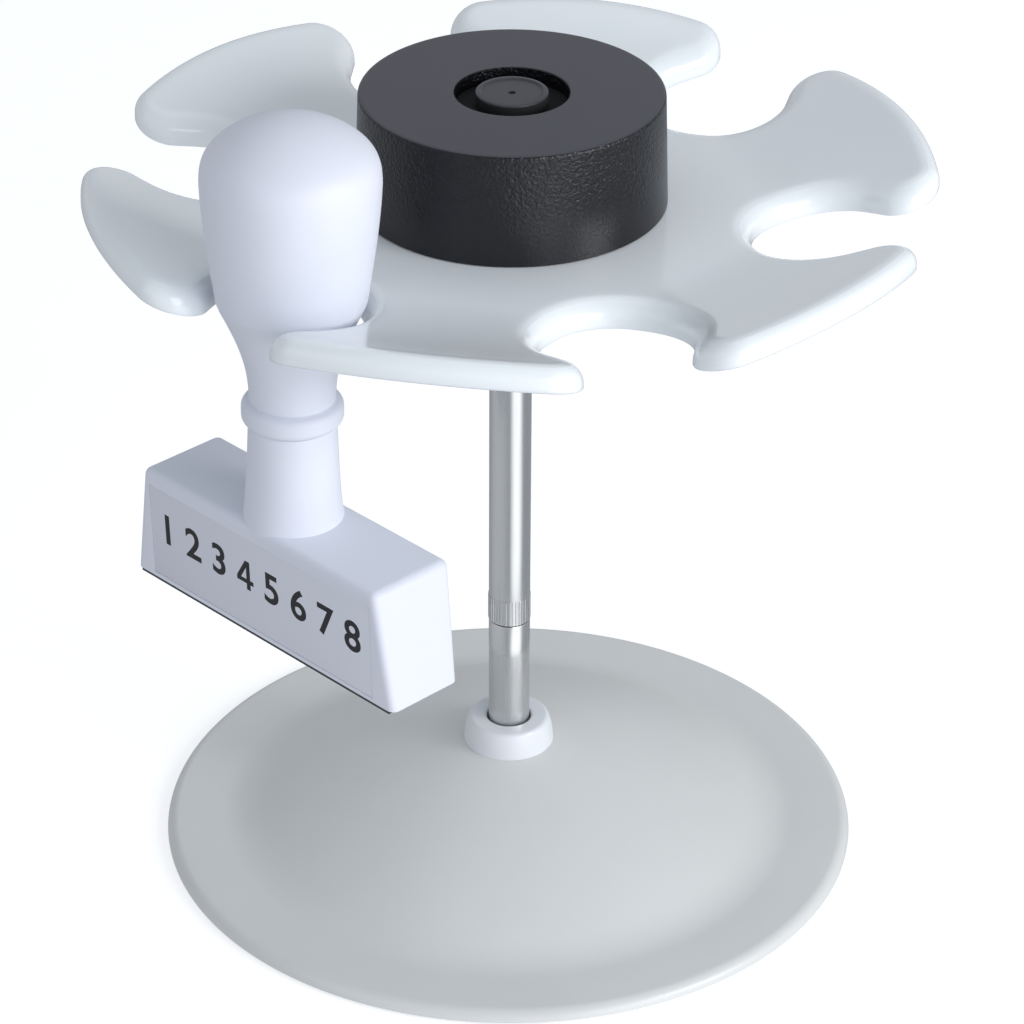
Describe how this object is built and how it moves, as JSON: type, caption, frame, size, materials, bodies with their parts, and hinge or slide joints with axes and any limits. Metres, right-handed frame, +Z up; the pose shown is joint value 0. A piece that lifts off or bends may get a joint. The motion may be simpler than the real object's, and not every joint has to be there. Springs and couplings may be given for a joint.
{
  "type": "desk stamp carousel",
  "caption": "Desk carousel for hand stamps: dished plate with key-shaped slots and a black hub that turns on a steel rod, on a weighted domed foot, with one stamp hanging in a slot.",
  "frame": {"origin": "on the desk, on the rod's axis, under the middle of the foot", "axes": "+Z up along the rod, +Y away from the viewer of the picture, +X to the viewer's right"},
  "size_m": [0.1562, 0.1562, 0.1722],
  "materials": {
    "foot_plastic": "light grey, satin to glossy, moulded",
    "weight_iron": "cast, raw",
    "cover_plastic": "grey, matt",
    "pad_rubber": "dark, matt",
    "collar_plastic": "white, satin",
    "rod_steel": "polished",
    "screw_steel": "zinc plated",
    "clip_steel": "dark spring steel",
    "plate_plastic": "pale blue-grey, glossy",
    "hub_plastic": "black, satin, fine grain",
    "hub_cap_plastic": "black, satin",
    "bush_bronze": "sintered bronze",
    "stamp_plastic": "white, satin to glossy",
    "label_card": "pale index strip under clear lacquer",
    "cushion_foam": "foam rubber",
    "die_rubber": "dark rubber"
  },
  "bodies": {
    "foot": {"foot_shell": "foot_plastic", "foot_weight": "weight_iron", "foot_cover": "cover_plastic", "foot_pad": "pad_rubber", "foot_collar": "collar_plastic", "post_lower": "rod_steel", "post_upper": "rod_steel", "post_stud": "screw_steel", "foot_screw": "screw_steel", "foot_washer": "screw_steel", "rest_clip": "clip_steel", "top_clip": "clip_steel"},
    "carousel": {"slot_plate": "plate_plastic", "hub_housing": "hub_plastic", "hub_cap": "hub_cap_plastic", "bush_lower": "bush_bronze", "bush_upper": "bush_bronze", "thrust_washer": "screw_steel", "hub_screw_1": "screw_steel", "hub_screw_2": "screw_steel", "hub_screw_3": "screw_steel"},
    "stamp": {"stamp_handle": "stamp_plastic", "stamp_ring": "stamp_plastic", "stamp_block": "stamp_plastic", "stamp_stud": "screw_steel", "stamp_label": "label_card", "stamp_cushion": "cushion_foam", "stamp_die": "die_rubber"}
  },
  "joints": [
    {"name": "carousel_spin", "type": "hinge", "parent": "foot", "child": "carousel", "pos_m": [0, 0, 0.14], "axis": [0, 0, 1], "continuous": true},
    {"name": "stamp_draw_out", "type": "slide", "parent": "carousel", "child": "stamp", "axis": [-0.3886, -0.4315, 0.8141], "range_m": [0, 0.062]}
  ]
}
